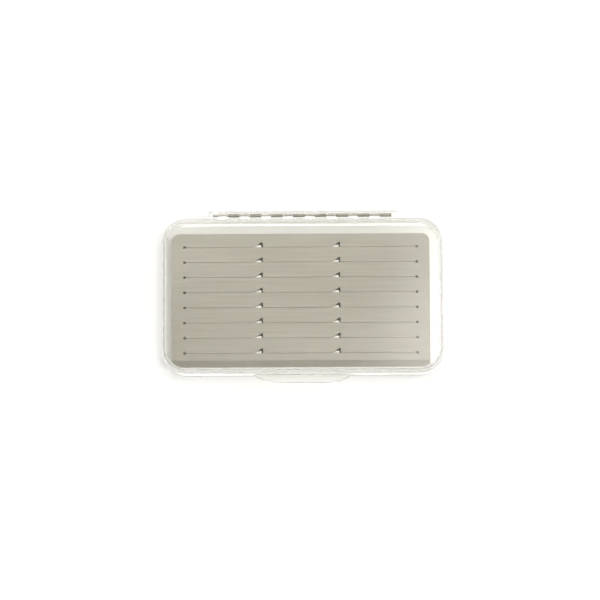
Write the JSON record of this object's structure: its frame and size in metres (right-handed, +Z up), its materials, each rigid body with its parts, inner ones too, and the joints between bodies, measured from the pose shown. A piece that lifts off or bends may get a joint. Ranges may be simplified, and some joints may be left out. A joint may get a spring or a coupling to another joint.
{
  "type": "fly box",
  "caption": "Slim clear hinged box for dry flies, with a slitted sheet-metal plate that holds flies by their hooks under a snap-shut lid.",
  "frame": {"origin": "centre of the base's underside", "axes": "+X along the hinge, +Y towards the hinge (rear), -Y towards the thumb tab (front), +Z up; lid closed"},
  "size_m": [0.154, 0.0962, 0.02],
  "materials": {
    "clear_plastic": "clear, glossy",
    "brushed_metal": "satin, brushed lengthwise",
    "steel_pin": "drawn wire",
    "pale_foam": "closed-cell foam, matte"
  },
  "bodies": {
    "base": {"base_shell": "clear_plastic", "hinge_pin": "steel_pin", "fly_plate": "brushed_metal", "foam_strip_left": "pale_foam", "foam_strip_right": "pale_foam", "foam_strip_rear": "pale_foam"},
    "lid": {"lid_shell": "clear_plastic"}
  },
  "joints": [
    {"name": "lid_hinge", "type": "hinge", "parent": "base", "child": "lid", "pos_m": [0, 0.0458, 0.01], "axis": [-1, 0, 0], "range_deg": [0, 180]}
  ]
}
